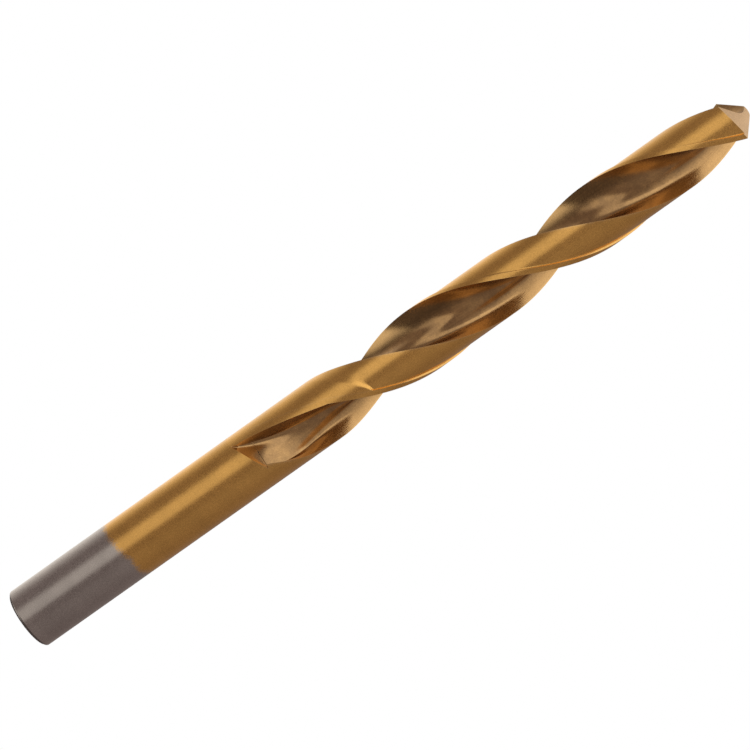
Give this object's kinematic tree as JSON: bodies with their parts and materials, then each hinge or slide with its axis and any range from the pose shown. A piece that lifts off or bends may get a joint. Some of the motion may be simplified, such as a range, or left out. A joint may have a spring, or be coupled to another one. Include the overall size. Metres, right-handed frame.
{
  "type": "twist drill",
  "caption": "Jobber-length fluted twist drill with a ground conical point, narrow margins and a plain round shank whose end is left uncoated.",
  "frame": {"origin": "centre of the flat end of the shank", "axes": "+Z along the drill axis towards the point; at the point the cutting lips lie parallel to X"},
  "size_m": [0.01, 0.01, 0.133],
  "materials": {
    "bare_steel": "ground bare high speed steel, satin",
    "coated_shank": "gold titanium nitride coating over ground steel, satin",
    "coated_flutes": "gold titanium nitride coating over ground and milled steel, semi-bright",
    "coated_point": "gold titanium nitride coating over fine ground facets, semi-bright"
  },
  "bodies": {
    "root": {"shank_bare_end": "bare_steel", "shank_coated": "coated_shank", "fluted_body": "coated_flutes", "drill_point": "coated_point"}
  },
  "joints": []
}
